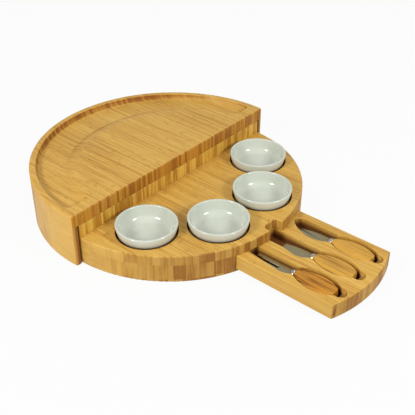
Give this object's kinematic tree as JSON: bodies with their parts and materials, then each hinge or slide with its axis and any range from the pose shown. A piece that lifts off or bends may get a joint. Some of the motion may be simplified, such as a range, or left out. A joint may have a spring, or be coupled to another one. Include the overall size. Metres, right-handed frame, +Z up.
{
  "type": "cheese board",
  "caption": "Round cheese board in two halves: a raised half with a groove, over a swivelling tray with round dishes and a knife drawer.",
  "frame": {"origin": "where the swivel axis meets the table, on the underside of the tray's base", "axes": "+Z up along the swivel axis; +X along the straight side of the raised half; +Y from the axis towards the raised half's round side, so the tray and the drawer are at -Y"},
  "size_m": [0.33, 0.4485, 0.066],
  "materials": {
    "bamboo": "satin",
    "light_handle_wood": "satin",
    "dark_handle_wood": "satin",
    "white_ceramic": "gloss",
    "blade_steel": "satin",
    "ferrule_steel": "gloss",
    "zinc_plated_steel": "satin",
    "brass": "satin",
    "nylon": "matte"
  },
  "bodies": {
    "cover": {"top_plate": "bamboo", "cover_wall": "bamboo", "pivot_insert": "brass", "pivot_bolt": "zinc_plated_steel", "pivot_washer": "zinc_plated_steel"},
    "tray": {"tray_base": "bamboo", "tray_core_left": "bamboo", "tray_core_right": "bamboo", "tray_core_back": "bamboo", "tray_deck": "bamboo", "tray_fence": "bamboo", "pivot_spacer": "nylon", "drawer_stop_peg": "bamboo"},
    "drawer": {"drawer": "bamboo"},
    "dish_left_outer": {"dish_left_outer": "white_ceramic"},
    "dish_left_inner": {"dish_left_inner": "white_ceramic"},
    "dish_right_inner": {"dish_right_inner": "white_ceramic"},
    "dish_right_outer": {"dish_right_outer": "white_ceramic"},
    "fork": {"fork_blade": "blade_steel", "fork_ferrule": "ferrule_steel", "fork_handle": "dark_handle_wood"},
    "spreader": {"spreader_blade": "blade_steel", "spreader_ferrule": "ferrule_steel", "spreader_handle": "light_handle_wood"},
    "paring_knife": {"paring_knife_blade": "blade_steel", "paring_knife_ferrule": "ferrule_steel", "paring_knife_handle": "light_handle_wood"}
  },
  "joints": [
    {"name": "tray_swivel", "type": "hinge", "parent": "cover", "child": "tray", "pos_m": [0, 0, 0], "axis": [0, 0, 1], "range_deg": [-65, 0]},
    {"name": "drawer_slide", "type": "slide", "parent": "tray", "child": "drawer", "axis": [0, -1, 0], "range_m": [-0.1215, 0]},
    {"name": "dish_left_outer_lift", "type": "slide", "parent": "tray", "child": "dish_left_outer", "axis": [0, 0, 1], "range_m": [0, 0.06]},
    {"name": "dish_left_inner_lift", "type": "slide", "parent": "tray", "child": "dish_left_inner", "axis": [0, 0, 1], "range_m": [0, 0.06]},
    {"name": "dish_right_inner_lift", "type": "slide", "parent": "tray", "child": "dish_right_inner", "axis": [0, 0, 1], "range_m": [0, 0.06]},
    {"name": "dish_right_outer_lift", "type": "slide", "parent": "tray", "child": "dish_right_outer", "axis": [0, 0, 1], "range_m": [0, 0.06]},
    {"name": "fork_lift", "type": "slide", "parent": "drawer", "child": "fork", "axis": [0, 0, 1], "range_m": [0, 0.06]},
    {"name": "spreader_lift", "type": "slide", "parent": "drawer", "child": "spreader", "axis": [0, 0, 1], "range_m": [0, 0.06]},
    {"name": "paring_knife_lift", "type": "slide", "parent": "drawer", "child": "paring_knife", "axis": [0, 0, 1], "range_m": [0, 0.06]}
  ]
}
